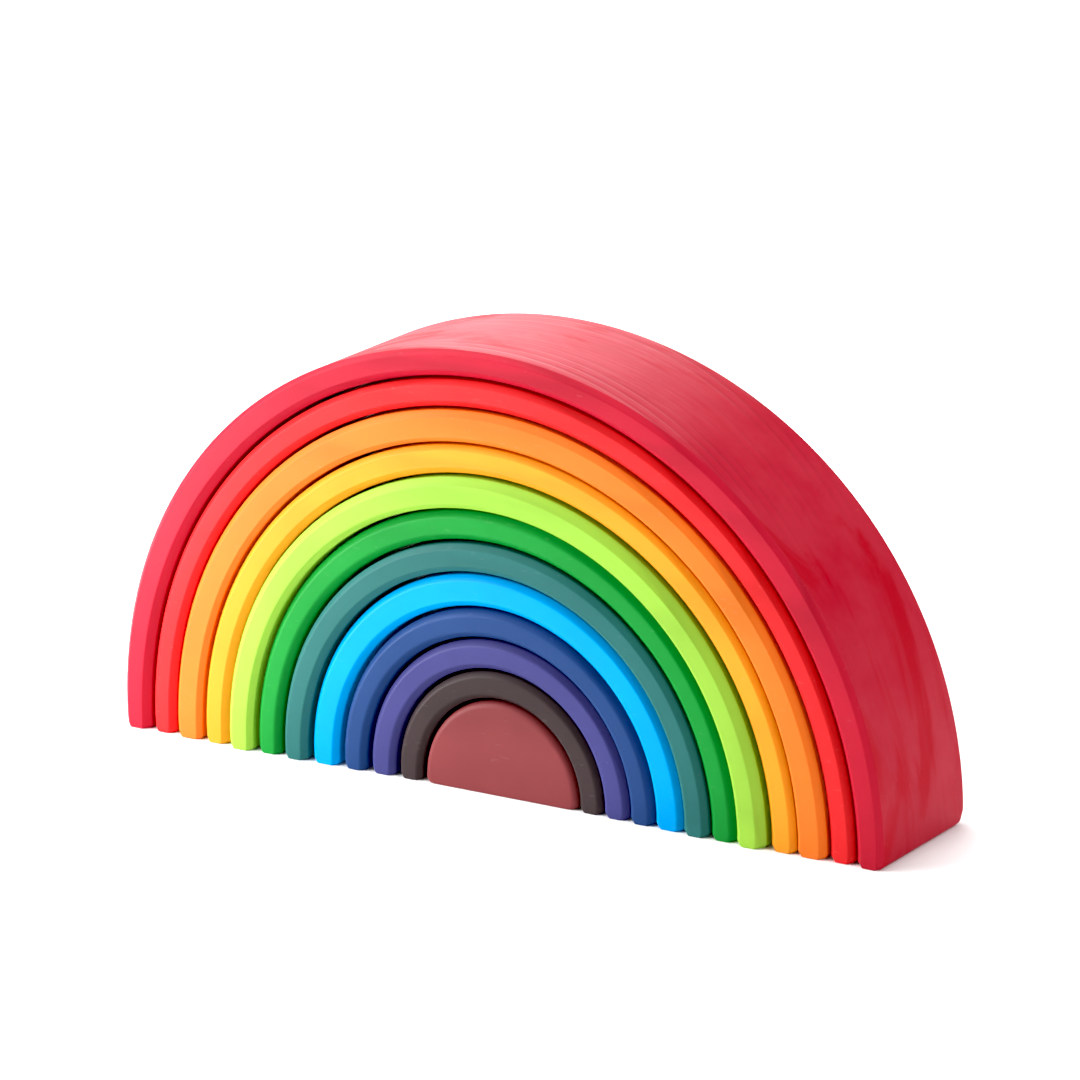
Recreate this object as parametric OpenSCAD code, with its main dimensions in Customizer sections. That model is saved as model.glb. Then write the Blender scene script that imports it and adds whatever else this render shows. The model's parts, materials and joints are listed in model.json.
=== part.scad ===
// Rainbow stacker: eleven loose arches and a solid core, sawn one out of the next from one block of wood.
// X runs along the row of feet, Y from the front to the back, Z up. The origin is on the floor,
// under the middle of the outer arch.

/* [Block] */
// Depth of every piece, from front to back
depth = 69.5; // [40:0.5:120]
// Height of the straight foot below each curve
foot_h = 2.7; // [2.4:0.1:12]
// Width of the saw cut between two neighbours
saw_gap = 1.2; // [0.8:0.1:3]

/* [Pieces] */
// Radius of the solid core
core_r = 38.2; // [25:0.5:60]
// Thickness of the brown arch, the first one round the core
brown_t = 11.8; // [8:0.1:25]
// Thickness of the violet arch
violet_t = 12.5; // [8:0.1:25]
// Thickness of the navy arch
navy_t = 12.2; // [8:0.1:25]
// Thickness of the sky blue arch
sky_blue_t = 13.7; // [8:0.1:25]
// Thickness of the teal arch
teal_t = 12.3; // [8:0.1:25]
// Thickness of the green arch
green_t = 12.5; // [8:0.1:25]
// Thickness of the lime arch
lime_t = 13.3; // [8:0.1:25]
// Thickness of the yellow arch
yellow_t = 12.3; // [8:0.1:25]
// Thickness of the orange arch
orange_t = 13.5; // [8:0.1:25]
// Thickness of the red arch
red_t = 11.7; // [8:0.1:25]
// Thickness of the crimson arch, the outer one
crimson_t = 12.8; // [8:0.1:25]

/* [Sanded edges] */
// Chamfer along the front and back edges of the arches
edge_chamfer = 2.5; // [0.5:0.1:3.5]
// Chamfer across the soles of the feet
foot_chamfer = 2; // [0.5:0.1:2.3]
// Rounding along the front and back edges of the core
core_round = 3; // [1:0.1:8]

/* [Stand] */
// Clearance that is left at a leg when a piece leans right over to the arch around it
rest_gap = 0.3; // [0.2:0.1:0.7]
// Furthest that a loose piece stands in front of the outer arch, or behind it
stagger = 2; // [0:0.1:6]

/* [Hidden] */
$fn = 128;
NODES = [
    "crimson_arch", "red_arch", "orange_arch", "yellow_arch", "lime_arch", "green_arch",
    "teal_arch", "sky_blue_arch", "navy_arch", "violet_arch", "brown_arch", "burgundy_core"
];

// Thickness of each piece in the same order, from the outside in, where the core counts its whole radius
thicknesses = [
    crimson_t, red_t, orange_t, yellow_t, lime_t, green_t,
    teal_t, sky_blue_t, navy_t, violet_t, brown_t, core_r
];
// How far each piece leans to the right in the arch around it, as a share of its play: below 0 it leans left
lean_shares = [0, 0.4, 0.3, 0.5, -0.4, 0.3, 0.9, 0.9, 0.85, 0.6, 0.6, 0.7];
// How far each piece stands back, as a share of the stagger: below 0 it stands forward
back_shares = [0, 0.4, -0.15, 0, -1, -0.15, -0.6, 0, 0.15, 0.55, 0.85, 1];

// A piece's place in the stack, counted from the outer arch
function place_of(name) = search([name], NODES)[0];
function is_core(place) = place == len(NODES) - 1;

// Radius of the outside of the piece at a place, and of the hollow under it
function outer_r(place) = thicknesses[place] + (is_core(place) ? 0 : outer_r(place + 1) + saw_gap);
function inner_r(place) = outer_r(place) - thicknesses[place];

// Where the piece at a place stands, along X and along Y
function lean_x(place) = place == 0 ? 0 : lean_x(place - 1) + lean_shares[place] * (saw_gap - rest_gap);
function back_y(place) = back_shares[place] * stagger;

// Stains, as seen on the finished wood
crimson_stain = [0.76, 0.15, 0.24];
red_stain = [0.93, 0.20, 0.22];
orange_stain = [0.96, 0.50, 0.16];
yellow_stain = [0.97, 0.73, 0.18];
lime_stain = [0.71, 0.89, 0.31];
green_stain = [0.10, 0.62, 0.24];
teal_stain = [0.22, 0.48, 0.48];
sky_blue_stain = [0.03, 0.67, 0.92];
navy_stain = [0.16, 0.31, 0.60];
violet_stain = [0.28, 0.27, 0.55];
brown_stain = [0.22, 0.17, 0.17];
burgundy_stain = [0.47, 0.20, 0.23];

// Cross-section of an arch at its leg: X runs from the hollow outwards, Y along the depth
module arch_section(r_in, r_out) {
    half = depth / 2;
    flat = half - edge_chamfer;
    near = r_in + edge_chamfer;
    far = r_out - edge_chamfer;
    polygon([
        [near, -half], [far, -half], [r_out, -flat], [r_out, flat],
        [far, half], [near, half], [r_in, flat], [r_in, -flat]
    ]);
}

// Cross-section of the core from its axis outwards, with its two outer edges rounded
module core_section() {
    half = depth / 2;
    flat = half - core_round;
    inset_r = core_r - core_round;
    translate([0, -half]) square([inset_r, depth]);
    translate([0, -flat]) square([core_r, 2 * flat]);
    for (end = [-1, 1]) translate([inset_r, end * flat]) circle(core_round);
}

// Front view of a foot, with the edges of its sole taken off
module foot_outline(r_in, r_out) {
    polygon([
        [r_in + foot_chamfer, 0], [r_out - foot_chamfer, 0], [r_out, foot_chamfer],
        [r_out, foot_h], [r_in, foot_h], [r_in, foot_chamfer]
    ]);
}

// Turns a section about the depth axis, from the right leg over the top to the left leg
module over_the_top() {
    translate([0, 0, foot_h]) rotate([90, 0, 0]) rotate_extrude(angle = 180) children();
}

// Runs a section straight down to the floor, trimmed to the foot's front view
module foot(r_in, r_out) {
    intersection() {
        linear_extrude(foot_h) children();
        rotate([90, 0, 0]) linear_extrude(depth, center = true) foot_outline(r_in, r_out);
    }
}

// Moves the piece at a place to where it stands
module stand(place) {
    translate([lean_x(place), back_y(place), 0]) children();
}

// One whole arch, given its name
module arch(name) {
    place = place_of(name);
    r_in = inner_r(place);
    r_out = outer_r(place);
    stand(place) {
        over_the_top() arch_section(r_in, r_out);
        for (side = [0, 1]) mirror([side, 0, 0]) foot(r_in, r_out) arch_section(r_in, r_out);
    }
}

module crimson_arch() {
    color(crimson_stain) arch("crimson_arch");
}

module red_arch() {
    color(red_stain) arch("red_arch");
}

module orange_arch() {
    color(orange_stain) arch("orange_arch");
}

module yellow_arch() {
    color(yellow_stain) arch("yellow_arch");
}

module lime_arch() {
    color(lime_stain) arch("lime_arch");
}

module green_arch() {
    color(green_stain) arch("green_arch");
}

module teal_arch() {
    color(teal_stain) arch("teal_arch");
}

module sky_blue_arch() {
    color(sky_blue_stain) arch("sky_blue_arch");
}

module navy_arch() {
    color(navy_stain) arch("navy_arch");
}

module violet_arch() {
    color(violet_stain) arch("violet_arch");
}

module brown_arch() {
    color(brown_stain) arch("brown_arch");
}

// The core has no hollow, so its two feet join into one sole
module burgundy_core() {
    color(burgundy_stain) stand(place_of("burgundy_core")) {
        over_the_top() core_section();
        foot(-core_r, core_r) for (side = [0, 1]) mirror([side, 0, 0]) core_section();
    }
}

crimson_arch();
red_arch();
orange_arch();
yellow_arch();
lime_arch();
green_arch();
teal_arch();
sky_blue_arch();
navy_arch();
violet_arch();
brown_arch();
burgundy_core();
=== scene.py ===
# %% [markdown]
# # A wooden rainbow stacker
# The toy is eleven loose arches and a solid half-round core, sawn one out of the next from a single block,
# sanded by hand and stained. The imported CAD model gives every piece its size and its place, and this lesson
# models the sanded wood over it. Everything is in metres, X along the row of feet, Y to the back, Z up.

# %% Load the frame
import json
from math import atan2, cos, pi, radians, sin

import bpy
from mathutils import Matrix, Vector


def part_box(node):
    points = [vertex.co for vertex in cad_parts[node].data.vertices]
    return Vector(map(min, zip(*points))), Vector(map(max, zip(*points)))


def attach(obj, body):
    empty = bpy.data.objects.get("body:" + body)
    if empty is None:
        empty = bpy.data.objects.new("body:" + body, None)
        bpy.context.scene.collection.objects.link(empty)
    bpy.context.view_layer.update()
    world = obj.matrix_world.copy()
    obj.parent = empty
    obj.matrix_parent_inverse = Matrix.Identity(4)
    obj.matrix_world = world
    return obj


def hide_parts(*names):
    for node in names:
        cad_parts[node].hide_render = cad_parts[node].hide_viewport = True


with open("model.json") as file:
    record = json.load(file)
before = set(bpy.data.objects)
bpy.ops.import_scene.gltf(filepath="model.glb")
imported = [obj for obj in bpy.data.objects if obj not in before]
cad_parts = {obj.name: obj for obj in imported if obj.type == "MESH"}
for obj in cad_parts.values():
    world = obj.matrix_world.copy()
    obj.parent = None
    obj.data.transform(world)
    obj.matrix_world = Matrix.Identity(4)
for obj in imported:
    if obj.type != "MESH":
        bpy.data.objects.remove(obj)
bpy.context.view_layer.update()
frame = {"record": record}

MM = 0.001

# %% [markdown]
# ## The camera
# The photograph was taken from well to the right of the front and a little above, from far away with a long
# lens, so lines that run to the back hardly draw together. A camera could be dragged about by eye. Here it
# is turned by three angles around the point that it looks at, which are easy to read and to change.

# %% Stand the camera
CAMERA_TURN = radians(33.825)
CAMERA_RISE = radians(16.756)
CAMERA_ROLL = radians(-1.583)
CAMERA_AWAY = 2.41408
CAMERA_LOOKS_AT = Vector((0.006861, 0, 0.103518))
CAMERA_SEES_TO = 100
SENSOR_MM = 36
LENS_MM = 193.06

towards_camera = Vector((
    sin(CAMERA_TURN) * cos(CAMERA_RISE),
    -cos(CAMERA_TURN) * cos(CAMERA_RISE),
    sin(CAMERA_RISE),
))
camera_data = bpy.data.cameras.new("camera")
camera_data.sensor_width = SENSOR_MM
camera_data.lens = LENS_MM
camera_data.clip_end = CAMERA_SEES_TO
camera = bpy.data.objects.new("camera", camera_data)
camera.matrix_world = (
    Matrix.Translation(CAMERA_LOOKS_AT + CAMERA_AWAY * towards_camera)
    @ Matrix.Rotation(CAMERA_TURN, 4, "Z")
    @ Matrix.Rotation(radians(90) - CAMERA_RISE, 4, "X")
    @ Matrix.Rotation(CAMERA_ROLL, 4, "Z")
)
bpy.context.collection.objects.link(camera)
bpy.context.scene.camera = camera
print("camera stands at", [round(x, 2) for x in camera.matrix_world.translation])

# %% [markdown]
# ## The floor and the light
# The toy stands on a white sheet under soft studio light. The main light comes from the left: a panel close
# to the front, a bigger one high up, and a small one near the left feet. Weaker panels lift the right feet,
# the top, the back edge and the right side. Small lamps would give hard shadows, so all are panels that point
# at the toy. The deepest tones are drawn down to black at the end, as a print does.

# %% Lay the floor
FLOOR_SIZE = 60
FLOOR_TONE = 0.93
PAPER_ROUGHNESS = 0.9
PAPER_GLOSS = 0.1

bpy.ops.object.select_all(action="DESELECT")
bpy.ops.mesh.primitive_plane_add(size=FLOOR_SIZE)
floor = bpy.context.object
floor.name = "floor"
paper = bpy.data.materials.new("white_paper")
paper.use_nodes = True
paper_shader = paper.node_tree.nodes["Principled BSDF"]
paper_shader.inputs["Base Color"].default_value = (FLOOR_TONE, FLOOR_TONE, FLOOR_TONE, 1)
paper_shader.inputs["Roughness"].default_value = PAPER_ROUGHNESS
paper_shader.inputs["Specular IOR Level"].default_value = PAPER_GLOSS
floor.data.materials.append(paper)
print("a white floor,", FLOOR_SIZE, "m wide")

# %% Hang the panels
PANEL_AIM = Vector((0, 0, 0.08))
PANELS = {
    # name: turn from the front to the right, rise, how far away, width, height, power
    "near_left_panel": (radians(-58), radians(22), 0.85, 0.7, 0.6, 10.6),
    "low_left_panel": (radians(-60), radians(-2), 0.42, 0.2, 0.1, 0.65),
    "low_front_panel": (radians(12), radians(2), 0.7, 0.4, 0.12, 0.55),
    "high_left_panel": (radians(-95), radians(62), 2.0, 2.0, 2.0, 51),
    "overhead_panel": (radians(180), radians(75), 2.2, 2.4, 2.4, 25),
    "back_left_panel": (radians(-146), radians(22), 1.8, 1.4, 1.0, 17),
    "right_panel": (radians(85), radians(30), 1.8, 1.2, 1.0, 16.5),
}

for name, (turn, rise, away, width, height, power) in PANELS.items():
    panel_data = bpy.data.lights.new(name, "AREA")
    panel_data.shape = "RECTANGLE"
    panel_data.size = width
    panel_data.size_y = height
    panel_data.energy = power
    panel = bpy.data.objects.new(name, panel_data)
    out = Vector((sin(turn) * cos(rise), -cos(turn) * cos(rise), sin(rise)))
    panel.location = PANEL_AIM + away * out
    panel.rotation_euler = out.to_track_quat("Z", "Y").to_euler()
    bpy.context.collection.objects.link(panel)
print(len(PANELS), "panels hung")

# %% Light the room and set the darks
ROOM_LIGHT = 0.11
DEEPEST = 0.015

room = bpy.data.worlds.new("white_room")
room.use_nodes = True
room.node_tree.nodes["Background"].inputs["Color"].default_value = (1, 1, 1, 1)
room.node_tree.nodes["Background"].inputs["Strength"].default_value = ROOM_LIGHT
bpy.context.scene.world = room
view = bpy.context.scene.view_settings
view.view_transform = "Standard"
view.use_curve_mapping = True
view.curve_mapping.black_level = (DEEPEST, DEEPEST, DEEPEST)
view.curve_mapping.update()
print("a white room of strength", ROOM_LIGHT, "and black from", DEEPEST, "down")

# %% [markdown]
# ## Measuring the stack
# Every piece takes its size from the CAD node that it stands for. A node's box gives its outer radius, its
# depth and where it stands. The hollow of an arch is the outside of the next piece in, plus the saw cut.

# %% Measure each piece
STACK = [
    "crimson_arch", "red_arch", "orange_arch", "yellow_arch", "lime_arch", "green_arch",
    "teal_arch", "sky_blue_arch", "navy_arch", "violet_arch", "brown_arch", "burgundy_core",
]
SAW_CUT = 1.2 * MM
FOOT_HEIGHT = 2.7 * MM


def measure(node):
    """Gives the outer radius, the depth and the middle of the arc of a CAD node."""
    low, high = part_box(node)
    outer_radius = (high.x - low.x) / 2
    centre = Vector(((low.x + high.x) / 2, (low.y + high.y) / 2, FOOT_HEIGHT))
    return outer_radius, high.y - low.y, centre


def hollow_radius(next_node):
    """Gives the radius of the hollow that the next piece in stands in."""
    return measure(next_node)[0] + SAW_CUT


for node in STACK:
    outer_radius, depth, centre = measure(node)
    print(f"{node}: radius {outer_radius / MM:.1f}, depth {depth / MM:.1f}, stands at {centre.x / MM:+.1f}")

# %% [markdown]
# ## Picking corners, edges and faces
# By hand one clicks on what the next tool should change. In a script the picking is done by place: each
# helper goes through the mesh and selects whatever a small test says yes to, then the tool is called.

# %% Helpers that pick


def clear_picks(kind):
    """Goes to edit mode in the given select mode with nothing selected, then back to read the mesh."""
    bpy.ops.object.mode_set(mode="EDIT")
    bpy.ops.mesh.select_mode(type=kind)
    bpy.ops.mesh.select_all(action="DESELECT")
    bpy.ops.object.mode_set(mode="OBJECT")


def pick_corners(piece, test):
    """Selects the vertices whose place passes the test."""
    clear_picks("VERT")
    for corner in piece.data.vertices:
        corner.select = test(corner.co)
    bpy.ops.object.mode_set(mode="EDIT")


def pick_edges(piece, test):
    """Selects the edges whose two ends pass the test."""
    clear_picks("EDGE")
    corners = piece.data.vertices
    for edge in piece.data.edges:
        start, end = edge.vertices
        edge.select = test(corners[start].co, corners[end].co)
    bpy.ops.object.mode_set(mode="EDIT")


def pick_faces(piece, test):
    """Selects the faces whose middle and normal pass the test."""
    clear_picks("FACE")
    for face in piece.data.polygons:
        face.select = test(face.center, face.normal)
    bpy.ops.object.mode_set(mode="EDIT")


# %% [markdown]
# ## The cross-section of a leg
# On the real toy an arch is cut along two half circles with a band saw, then its long edges are planed off
# at a slant and lightly sanded. Half a torus would have no flat faces. Here the cross-section of the right
# leg is a plate: its four corners are bevelled flat, and the corners that this leaves are rounded a little.
# The plate is then cut into short strips, so that the wood can be made uneven later.

# %% Draw a cross-section
ROUND_PROFILE = 0.5
EDGE_STEPS = 3
LONG_EDGE = 20 * MM
TINY = 0.01 * MM


def new_plate(name, width, depth, middle):
    """Adds a flat plate of the given size, with its place in its mesh."""
    bpy.ops.object.select_all(action="DESELECT")
    bpy.ops.mesh.primitive_plane_add(size=1, location=middle)
    plate = bpy.context.object
    plate.name = name
    plate.data.name = name
    bpy.ops.transform.resize(value=(width, depth, 1))
    bpy.ops.object.transform_apply(location=True, rotation=True, scale=True)
    return plate


def bevel_picked(size, steps):
    """Takes off the picked corners of a section: flat in one step, round in several."""
    bpy.ops.mesh.bevel(offset=size, affect="VERTICES", segments=steps, profile=ROUND_PROFILE)


def bevel_section(piece, middle_x, outer_bevel, inner_bevel, steps):
    """Takes off the four corners of a section: the two outer ones and the two inner ones."""
    pick_corners(piece, lambda place: place.x > middle_x)
    bevel_picked(outer_bevel, steps)
    if inner_bevel:
        pick_corners(piece, lambda place: place.x < middle_x)
        bevel_picked(inner_bevel, steps)


def soften_section(edge_round):
    """Rounds every corner that the bevels have left on the section in hand."""
    bpy.ops.mesh.select_all(action="SELECT")
    bevel_picked(edge_round, EDGE_STEPS)


def cut_section(piece, along_depth, along_front):
    """Cuts the long edges of a section into short ones."""
    pick_edges(piece, lambda start, end: abs(start.y - end.y) > LONG_EDGE)
    bpy.ops.mesh.subdivide(number_cuts=along_depth)
    pick_edges(piece, lambda start, end: abs(start.y - end.y) < TINY)
    bpy.ops.mesh.subdivide(number_cuts=along_front)


# %% [markdown]
# ## Over the top and down to the floor
# Spin turns the section in short steps over the top to the left leg. The faces at an end of this half ring
# are then extruded down to the floor in a few steps and drawn in on the way, which leaves a slant along the
# sole. Use has worn some corners down. A cut with Bisect would be flat there, so these corners are moved one
# by one, the more the nearer they are to the floor.

# %% Spin the section and grow the feet
STEP_LENGTH = 3.5 * MM
FACES_DOWN = -0.99
RIGHT, LEFT, EITHER = 1, -1, 0
WORN_HEIGHT = 8 * MM


def spin_over(piece, centre, outer_radius):
    """Turns the section from the right leg over the top to the left leg, as one closed solid."""
    bpy.ops.object.mode_set(mode="EDIT")
    bpy.ops.mesh.select_all(action="SELECT")
    steps = round(pi * outer_radius / STEP_LENGTH)
    bpy.ops.mesh.spin(steps=steps, angle=pi, center=centre, axis=(0, 1, 0))
    bpy.ops.mesh.select_all(action="SELECT")
    bpy.ops.mesh.remove_doubles(threshold=TINY)
    bpy.ops.mesh.normals_make_consistent(inside=False)


def grow_foot(piece, side, centre, middle_x, width, steps):
    """Runs an end of the half ring down to the floor in steps, drawing its two sides in on the way."""
    def is_end(middle, normal):
        level = normal.z < FACES_DOWN and abs(middle.z - FOOT_HEIGHT) < TINY
        return level and side * (middle.x - centre.x) >= 0

    pick_faces(piece, is_end)
    height, drawn_in = FOOT_HEIGHT, 0
    for next_height, next_drawn_in in steps:
        move = (0, 0, next_height - height)
        bpy.ops.mesh.extrude_region_move(TRANSFORM_OT_translate={"value": move})
        narrower = (width - 2 * next_drawn_in) / (width - 2 * drawn_in)
        bpy.ops.transform.resize(value=(narrower, 1, 1), center_override=(middle_x, 0, next_height))
        height, drawn_in = next_height, next_drawn_in


def wear_foot(piece, test, shift):
    """Moves the corners of a foot that pass the test, the more the nearer they are to the floor."""
    for corner in piece.data.vertices:
        if corner.co.z < WORN_HEIGHT and test(corner.co):
            corner.co += shift * (1 - corner.co.z / WORN_HEIGHT) ** 2


# %% [markdown]
# ## Sawing the arches
# Each arch was planed by hand, so its slants have their own widths, and some edges were left rounder than
# others. The left feet are more worn than the right ones, and the outer arch has lost the back corner of its
# right foot. One function saws them all, and the tables hold what differs.

# %% Saw the arches
FLAT = 1
DEPTH_CUTS = 11
FRONT_CUTS = 1
# Steps down each foot: height over the floor, and how far each side has come in
RIGHT_STEPS = [(1.7 * MM, 0), (0, 1.6 * MM)]
LEFT_STEPS = [(1.3 * MM, 0.1 * MM), (0.5 * MM, 0.6 * MM), (0, 1.2 * MM)]
OUTER_WEAR = Vector((0.6 * MM, 0, 0))
BACK_WEAR = Vector((0, -5 * MM, 0))
BACK_CORNER = 30 * MM
# Slants along the front and back edges in mm, outer then inner, and how round the edges are left
EDGES = {
    "crimson_arch": (2.2, 3.2, 0.4),
    "red_arch": (2.4, 2.7, 0.4),
    "orange_arch": (2.7, 2.1, 0.35),
    "yellow_arch": (2.3, 2.9, 0.4),
    "lime_arch": (3.4, 2.3, 0.4),
    "green_arch": (2.8, 2.7, 0.7),
    "teal_arch": (2.5, 2.6, 0.5),
    "sky_blue_arch": (2.5, 2.5, 0.5),
    "navy_arch": (2.7, 2.5, 0.7),
    "violet_arch": (2.5, 2.4, 0.65),
    "brown_arch": (2.2, 2.3, 0.7),
}


def saw_arch(node, next_node):
    """Models one arch over its CAD node."""
    outer_radius, depth, centre = measure(node)
    inner_radius = hollow_radius(next_node)
    width = outer_radius - inner_radius
    right_x = centre.x + (outer_radius + inner_radius) / 2
    left_x = 2 * centre.x - right_x
    outer_bevel, inner_bevel, edge_round = EDGES[node]
    arch = new_plate(node + "_wood", width, depth, Vector((right_x, centre.y, FOOT_HEIGHT)))
    bevel_section(arch, right_x, outer_bevel * MM, inner_bevel * MM, FLAT)
    soften_section(edge_round * MM)
    cut_section(arch, DEPTH_CUTS, FRONT_CUTS)
    spin_over(arch, centre, outer_radius)
    grow_foot(arch, RIGHT, centre, right_x, width, RIGHT_STEPS)
    grow_foot(arch, LEFT, centre, left_x, width, LEFT_STEPS)
    bpy.ops.object.mode_set(mode="OBJECT")
    wear_foot(arch, lambda place: place.x < left_x, OUTER_WEAR)
    return arch


pieces = {}
for node, next_node in zip(STACK, STACK[1:]):
    pieces[node] = saw_arch(node, next_node)
    print(node, len(pieces[node].data.polygons), "faces")
wear_foot(pieces[STACK[0]], lambda place: place.x > 0 and place.y > BACK_CORNER, BACK_WEAR)

# %% [markdown]
# ## Sawing the core
# The last piece left in the middle of the block is a solid half disc. It could be half a cylinder, but then
# its front would be one big face. A plate from the axis to the outside, spun half round, gives rings of faces
# that can be made uneven like the rest. Its edges are rounder than those of the arches.

# %% Saw the core
CORE_ROUND = 3 * MM
CORE_STEPS = [(1.1 * MM, 0.4 * MM), (0, 2 * MM)]
ROUND_STEPS = 5
CORE_FRONT_CUTS = 5


def saw_core(node):
    """Models the core over its CAD node."""
    radius, depth, centre = measure(node)
    middle = centre + Vector((radius / 2, 0, 0))
    core = new_plate(node + "_wood", radius, depth, middle)
    bevel_section(core, middle.x, CORE_ROUND, 0, ROUND_STEPS)
    cut_section(core, DEPTH_CUTS, CORE_FRONT_CUTS)
    spin_over(core, centre, radius)
    grow_foot(core, EITHER, centre, centre.x, 2 * radius, CORE_STEPS)
    bpy.ops.object.mode_set(mode="OBJECT")
    return core


pieces["burgundy_core"] = saw_core("burgundy_core")
print("burgundy_core", len(pieces["burgundy_core"].data.polygons), "faces")

# %% [markdown]
# ## The outside of the outer arch
# The outside was sawn by eye, so it isn't quite round: a little flat on top, a little full at the shoulders.
# Proportional editing would do this by hand. A wave with three periods to the turn does it in one line.

# %% Let the outer cut wander
OUTER_WANDER = 1.2 * MM
WANDER_WAVES = 3


def wander_outside(arch, node, hollow):
    """Moves the outside of an arch in and out along its length, and nothing at its feet."""
    outer_radius, _, centre = measure(node)
    middle_radius = (outer_radius + hollow) / 2
    for corner in arch.data.vertices:
        outwards = corner.co - centre
        outwards.y = 0
        if outwards.length > middle_radius and outwards.z > 0:
            from_top = atan2(outwards.x, outwards.z)
            corner.co -= outwards.normalized() * OUTER_WANDER * cos(WANDER_WAVES * from_top)


wander_outside(pieces[STACK[0]], STACK[0], hollow_radius(STACK[1]))
print(STACK[0], "wanders by", OUTER_WANDER / MM, "mm")

# %% [markdown]
# ## Sanding
# Sanding by hand leaves no edge sharp and no face quite true. The long edges are round already, so a Bevel
# modifier rounds only what is still sharp, at the soles. A Displace modifier then takes up to a quarter of a
# millimetre off the fronts, and less off the sawn sides, as soft clouds say. The soles are left flat, because
# the toy stands on them.

# %% Sand a piece
CLOUD_SIZE = 45 * MM
CLOUD_DEPTH = 1
SANDED_OFF = 0.25 * MM
SIDE_SHARE = 0.3
FRONT_TILT = 0.3
SOLE_TOP = 3 * MM
SOLE_EDGE = 0.5 * MM
SOLE_STEPS = 3
SHARP_ANGLE = radians(20)
FLATNESS = 80

clouds = bpy.data.textures.new("sanding_clouds", "CLOUDS")
clouds.noise_scale = CLOUD_SIZE
clouds.noise_depth = CLOUD_DEPTH


def finish_with(piece, kind, **settings):
    """Adds a modifier with the given settings and applies it."""
    bpy.context.view_layer.objects.active = piece
    modifier = piece.modifiers.new(kind.lower(), kind)
    for name, value in settings.items():
        setattr(modifier, name, value)
    bpy.ops.object.modifier_apply(modifier=modifier.name)


def sand(piece, node):
    """Rounds the sharp edges of a piece, keeps it in its CAD box and makes its faces slightly uneven."""
    low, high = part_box(node)
    finish_with(
        piece, "BEVEL", width=SOLE_EDGE, segments=SOLE_STEPS, limit_method="ANGLE",
        angle_limit=SHARP_ANGLE, use_clamp_overlap=True,
    )
    sanded = piece.vertex_groups.new(name="sanded")
    for corner in piece.data.vertices:
        corner.co = [min(max(at, least), most) for at, least, most in zip(corner.co, low, high)]
        share = 1 if abs(corner.normal.y) > FRONT_TILT else SIDE_SHARE
        sanded.add([corner.index], share if corner.co.z > SOLE_TOP else 0, "REPLACE")
    finish_with(
        piece, "DISPLACE", texture=clouds, texture_coords="LOCAL", strength=SANDED_OFF,
        mid_level=1, vertex_group=sanded.name,
    )
    bpy.ops.object.select_all(action="DESELECT")
    piece.select_set(True)
    bpy.ops.object.shade_smooth()
    finish_with(piece, "WEIGHTED_NORMAL", weight=FLATNESS, keep_sharp=False)


for node, piece in pieces.items():
    sand(piece, node)
    print(node, len(piece.data.polygons), "faces after sanding")

# %% [markdown]
# ## Writing shaders as sums
# A material is a sheet of nodes with wires between them. The small class below stands for one wire, so that
# a mix of patterns can be written as a sum in Python, and each sign adds the Math node that it needs.

# %% A wire that can be added and multiplied


class Wire:
    """An output socket of a node sheet, for use in sums."""

    def __init__(self, sheet, socket):
        self.sheet = sheet
        self.socket = socket

    def plug(self, socket, value):
        """Sets a socket to a value, or runs a wire to it."""
        if isinstance(value, Wire):
            self.sheet.links.new(value.socket, socket)
        else:
            socket.default_value = value

    def node(self, kind, settings=None, sockets=None, out=0):
        """Adds any node: settings first, then values or wires for its sockets."""
        made = self.sheet.nodes.new(kind)
        for name, value in (settings or {}).items():
            setattr(made, name, value)
        for name, value in (sockets or {}).items():
            self.plug(made.inputs[name], value)
        return Wire(self.sheet, made.outputs[out])

    def math(self, operation, first, second=0.0):
        """Adds a Math node."""
        return self.node("ShaderNodeMath", {"operation": operation}, {0: first, 1: second})

    def __add__(self, other):
        return self.math("ADD", self, other)

    __radd__ = __add__

    def __sub__(self, other):
        return self.math("SUBTRACT", self, other)

    def __rsub__(self, other):
        return self.math("SUBTRACT", other, self)

    def __mul__(self, other):
        return self.math("MULTIPLY", self, other)

    __rmul__ = __mul__

    def __truediv__(self, other):
        return self.math("DIVIDE", self, other)

    def __rtruediv__(self, other):
        return self.math("DIVIDE", other, self)

    def blend(self, factor, first, second):
        """A colour between two others."""
        settings = {"data_type": "RGBA", "clamp_factor": True}
        return self.node("ShaderNodeMix", settings, {0: factor, 6: first, 7: second}, out=2)

    def between(self, low, high):
        """A smooth step from 0 at low to 1 at high."""
        limits = {"Value": self, "From Min": low, "From Max": high}
        return self.node("ShaderNodeMapRange", {"interpolation_type": "SMOOTHSTEP"}, limits)

    def part(self, axis):
        """One of the three numbers of a place or a direction."""
        return self.node("ShaderNodeSeparateXYZ", None, {"Vector": self}, out=axis)

    def stretched(self, scale):
        """The same place with its axes scaled, so that a pattern is drawn out where the scale is small."""
        sockets = {"Vector": self, "Scale": scale}
        return self.node("ShaderNodeMapping", {"vector_type": "POINT"}, sockets)

    def noise(self, scale, detail, roughness=0.5, distortion=0.0):
        """A soft noise at this place, with about as many spots to the metre as the scale says."""
        sockets = {"Vector": self, "Scale": scale, "Detail": detail}
        sockets.update({"Roughness": roughness, "Distortion": distortion})
        return self.node("ShaderNodeTexNoise", None, sockets)


# %% [markdown]
# ## The grain
# The block is a plank of pale wood with its grain along X and its growth rings nearly parallel to its front.
# So the fronts look calm, and the rings show as long lines where the saw has cut across them, on the top of
# the outer arch. They fade on its sides, where the saw has cut off the ends of the fibres. An image of wood
# would slide over the curves. A pattern in space cuts through them.

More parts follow.
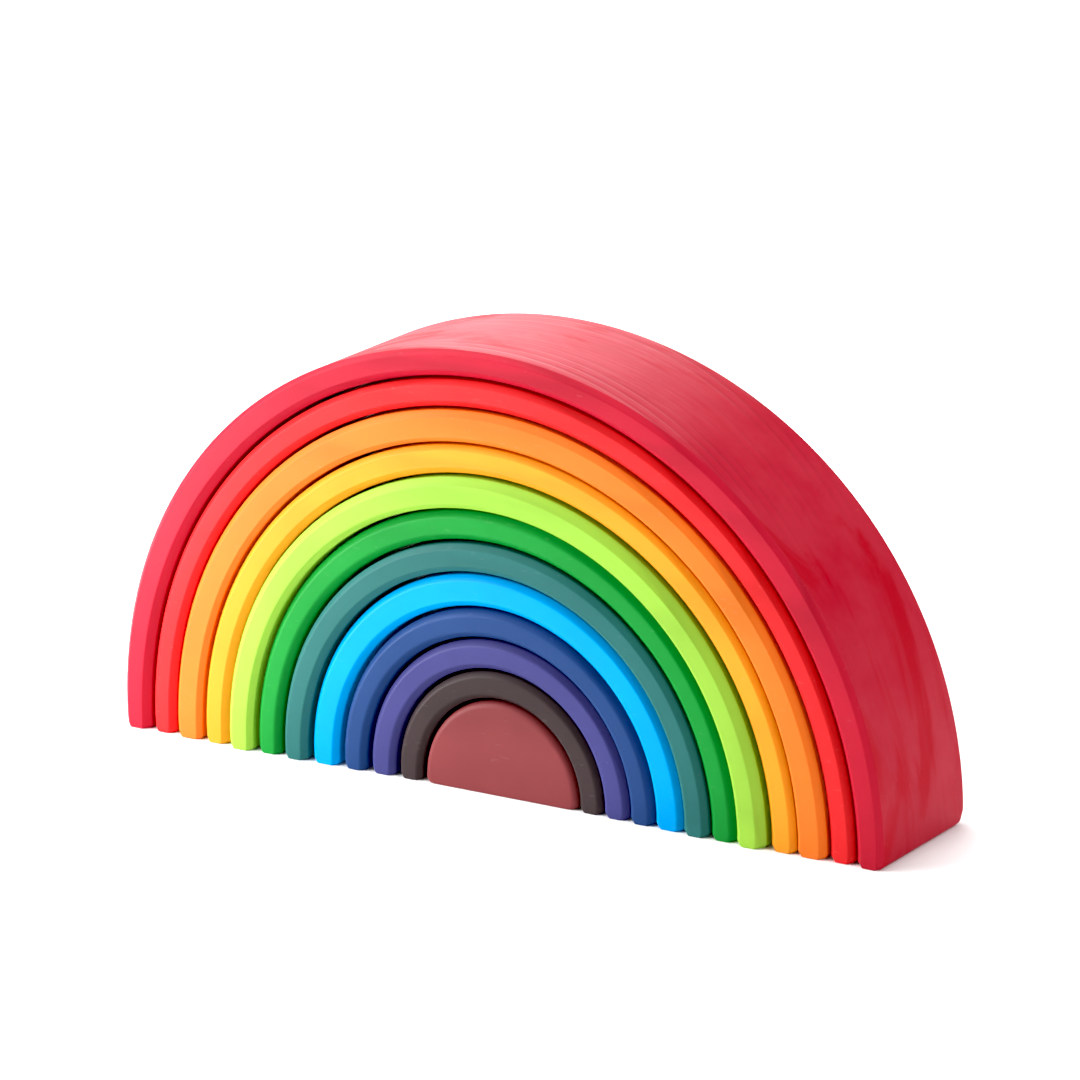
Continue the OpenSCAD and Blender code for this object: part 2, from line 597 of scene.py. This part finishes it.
# %% Grow the rings
HEART_Y, HEART_Z = 0.36, 0.05
RING_PITCH = 5.6 * MM
RING_BEND = 14 * MM
BEND_SCALE = 14
RING_DARKENS = (0.3, 0.8)
RING_ENDS = (0.8, 1.0)
PATCH_SCALE = 60
RING_PATCHES = (0.33, 0.62)


def growth_rings(place, along):
    """Dark lines in rings around the heart line, bent by a slow wave and strong only in patches."""
    bend = along.noise(BEND_SCALE, detail=1)
    apart = place.part("Y") - HEART_Y
    above = place.part("Z") - HEART_Z
    from_heart = place.math("SQRT", apart * apart + above * above)
    ring = place.math("FRACT", (from_heart + RING_BEND * bend) / RING_PITCH)
    late_wood = ring.between(*RING_DARKENS) * (1 - ring.between(*RING_ENDS))
    return late_wood * along.noise(PATCH_SCALE, detail=2).between(*RING_PATCHES)


print("a growth ring every", RING_PITCH / MM, "mm")

# %% Draw the streaks and the fibres
GRAIN_STRETCH = (0.06, 1, 0.14)
STREAK_SCALE, STREAK_ROUGHNESS = 110, 0.6
FIBRE_SCALE = 420
MIDDLE = 0.5
FIBRE_ENDS = (0.5, 0.9)
CALM = 0.8


def streaks(along):
    """Soft dark and pale streaks, which swing around zero."""
    return along.noise(STREAK_SCALE, detail=3, roughness=STREAK_ROUGHNESS) - MIDDLE


def fibres(along):
    """Fine dark and pale lines, which swing around zero."""
    return along.noise(FIBRE_SCALE, detail=3) - MIDDLE


def line_strength(facing):
    """How clear the lines of the grain are: 1 along the fibres, less where these end."""
    to_side = facing.math("ABSOLUTE", facing.part("X"))
    return 1 - CALM * to_side.between(*FIBRE_ENDS)


print("patterns drawn out", round(1 / GRAIN_STRETCH[0]), "times along the grain")

# %% [markdown]
# ## The stain
# The stain sinks in unevenly, so each colour has soft blotches, streaks, fine fibres and a few pale flecks.
# Where the saw has cut across the grain it also leaves flames of a deeper, purer colour, and a pale bloom
# that is partly uneven stain and partly a painted sheen.
# Each shade is worked out from the one colour of the finished wood, so a stain is changed in one place.

# %% Shades of a stain
DARK_TONE = 0.74
PALE_TONE = 1.22
# The bloom's shade has a little white added: a painted sheen over uneven stain
BLOOM_AND_SHEEN_TONE, BLOOM_AND_SHEEN_WHITE = 0.95, 0.03
FLECK_TONE, FLECK_WHITE = 0.8, 0.15
DEEP_TONE = 0.92
DEEP_PURITY = 0.28


def shade(stain, tone, white=0):
    """A stain made darker or paler, with some white added."""
    return tuple(min(1, tone * channel + white) for channel in stain) + (1,)


def deepened(stain):
    """A stain that has sunk in: a little darker, and purer because its weak channels lose most."""
    purity = [(channel / max(stain)) ** DEEP_PURITY for channel in stain]
    return shade([channel * share for channel, share in zip(stain, purity)], DEEP_TONE)


# %% Let the stain sink in
BLOTCH_SCALE, BLOTCH_ROUGHNESS = 26, 0.55
FLECK_STRETCH = (0.25, 1, 0.8)
FLECK_SCALE = 900
FLECKS = (0.78, 0.84)
FLAME_STRETCH = (0.35, 1, 0.3)
FLAME_SCALE, FLAME_ROUGHNESS, FLAME_TWIST = 34, 0.6, 0.8
FLAMES = (0.5, 0.66)
FRONTS = (0.2, 0.6)


def blotches(place):
    """Soft patches where more or less stain has sunk in."""
    return place.noise(BLOTCH_SCALE, detail=4, roughness=BLOTCH_ROUGHNESS)


def flecks(place):
    """Sparse pale dashes."""
    return place.stretched(FLECK_STRETCH).noise(FLECK_SCALE, detail=0).between(*FLECKS)


def flames(place):
    """Tongues of stain."""
    drawn_out = place.stretched(FLAME_STRETCH)
    tongues = drawn_out.noise(FLAME_SCALE, detail=4, roughness=FLAME_ROUGHNESS, distortion=FLAME_TWIST)
    return tongues.between(*FLAMES)


def cut_across(facing):
    """1 where the saw has cut across the grain, 0 on the fronts."""
    return 1 - facing.math("ABSOLUTE", facing.part("Y")).between(*FRONTS)


# %% Make a stained wood
# Where the pale bloom, uneven stain with a painted sheen, shows
BLOOM_AND_SHEEN_RANGE = (0.38, 0.66)
# How strongly each pattern shows
BLOTCH_SHARE, STREAK_SHARE, FIBRE_SHARE, RING_SHARE = 0.5, 0.3, 0.12, 0.28
# The bloom's share is partly uneven stain and partly a painted sheen
BLOOM_AND_SHEEN_SHARE, FLAME_SHARE, FLECK_SHARE = 0.4, 0.85, 0.09
GLOSS = 0.11
ROUGHNESS = 0.44
ROUGHNESS_CHANGE = 0.12
FIBRE_HEIGHT, STREAK_HEIGHT, RING_HEIGHT = 0.5, 0.6, 0.5
GRAIN_STRENGTH = 0.6
GRAIN_DEPTH = 0.35 * MM


def stained_wood(name, stain):
    """Makes one stain's material. The stain is the colour of the finished wood, in linear light."""
    material = bpy.data.materials.new(name)
    material.use_nodes = True
    sheet = material.node_tree
    shader = sheet.nodes["Principled BSDF"]
    shader.inputs["Specular IOR Level"].default_value = GLOSS
    coordinates = sheet.nodes.new("ShaderNodeTexCoord")
    place = Wire(sheet, coordinates.outputs["Object"])
    facing = Wire(sheet, coordinates.outputs["Normal"])

    # The grain is drawn out most along X, and less from bottom to top
    along = place.stretched(GRAIN_STRETCH)
    lines = line_strength(facing)
    late_wood = lines * growth_rings(place, along)
    streak = lines * streaks(along)
    fibre = lines * fibres(along)

    # Flames, and the pale bloom of uneven stain with a painted sheen, show only where the saw has cut across
    # the grain
    blotch = blotches(place)
    across_grain = cut_across(facing)
    flame = across_grain * flames(place)
    bloom_and_sheen = across_grain * blotch.between(*BLOOM_AND_SHEEN_RANGE)

    tone = MIDDLE + BLOTCH_SHARE * (blotch - MIDDLE) + STREAK_SHARE * streak
    tone = tone + FIBRE_SHARE * fibre - RING_SHARE * late_wood
    colour = place.blend(tone, shade(stain, DARK_TONE), shade(stain, PALE_TONE))
    # The pale bloom paints a sheen on the sawn sides as well as uneven stain
    colour = place.blend(BLOOM_AND_SHEEN_SHARE * bloom_and_sheen, colour, shade(stain, BLOOM_AND_SHEEN_TONE, BLOOM_AND_SHEEN_WHITE))
    colour = place.blend(FLAME_SHARE * flame, colour, deepened(stain))
    colour = place.blend(FLECK_SHARE * flecks(place), colour, shade(stain, FLECK_TONE, FLECK_WHITE))
    place.plug(shader.inputs["Base Color"], colour)
    place.plug(shader.inputs["Roughness"], ROUGHNESS + ROUGHNESS_CHANGE * (fibre + flame))
    height = FIBRE_HEIGHT * fibre + STREAK_HEIGHT * streak - RING_HEIGHT * late_wood
    sockets = {"Height": height, "Strength": GRAIN_STRENGTH, "Distance": GRAIN_DEPTH}
    place.plug(shader.inputs["Normal"], place.node("ShaderNodeBump", None, sockets))
    return material


# %% Mix the stains
# Stains as they look on the finished wood, in linear light
STAINS = {
    "crimson_stain": (0.442, 0.0150, 0.034),
    "red_stain": (0.67, 0.0245, 0.0275),
    "orange_stain": (0.775, 0.182, 0.027),
    "yellow_stain": (0.84, 0.315, 0.027),
    "lime_stain": (0.295, 0.549, 0.060),
    "green_stain": (0.0115, 0.2545, 0.037),
    "teal_stain": (0.028, 0.138, 0.131),
    "sky_blue_stain": (0.0004, 0.31, 0.72),
    "navy_stain": (0.0205, 0.056, 0.176),
    "violet_stain": (0.057, 0.056, 0.194),
    "brown_stain": (0.050, 0.035, 0.036),
    "burgundy_stain": (0.22, 0.047, 0.050),
}

finishes = {name: stained_wood(name + "ed_wood", stain) for name, stain in STAINS.items()}
print(len(finishes), "stains mixed")

# %% [markdown]
# ## Putting the toy together
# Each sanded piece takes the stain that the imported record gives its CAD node, hides that node and rides on
# its body, so that it slides when the joint slides.

# %% Stain the pieces and hand them to the frame
slot_of = {part["node"]: part["material_slot"] for part in frame["record"]["subparts"]}
for node, piece in pieces.items():
    piece.data.materials.clear()
    piece.data.materials.append(finishes[slot_of[node]])
    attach(piece, node)
    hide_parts(node)
    print(node, "has", slot_of[node])
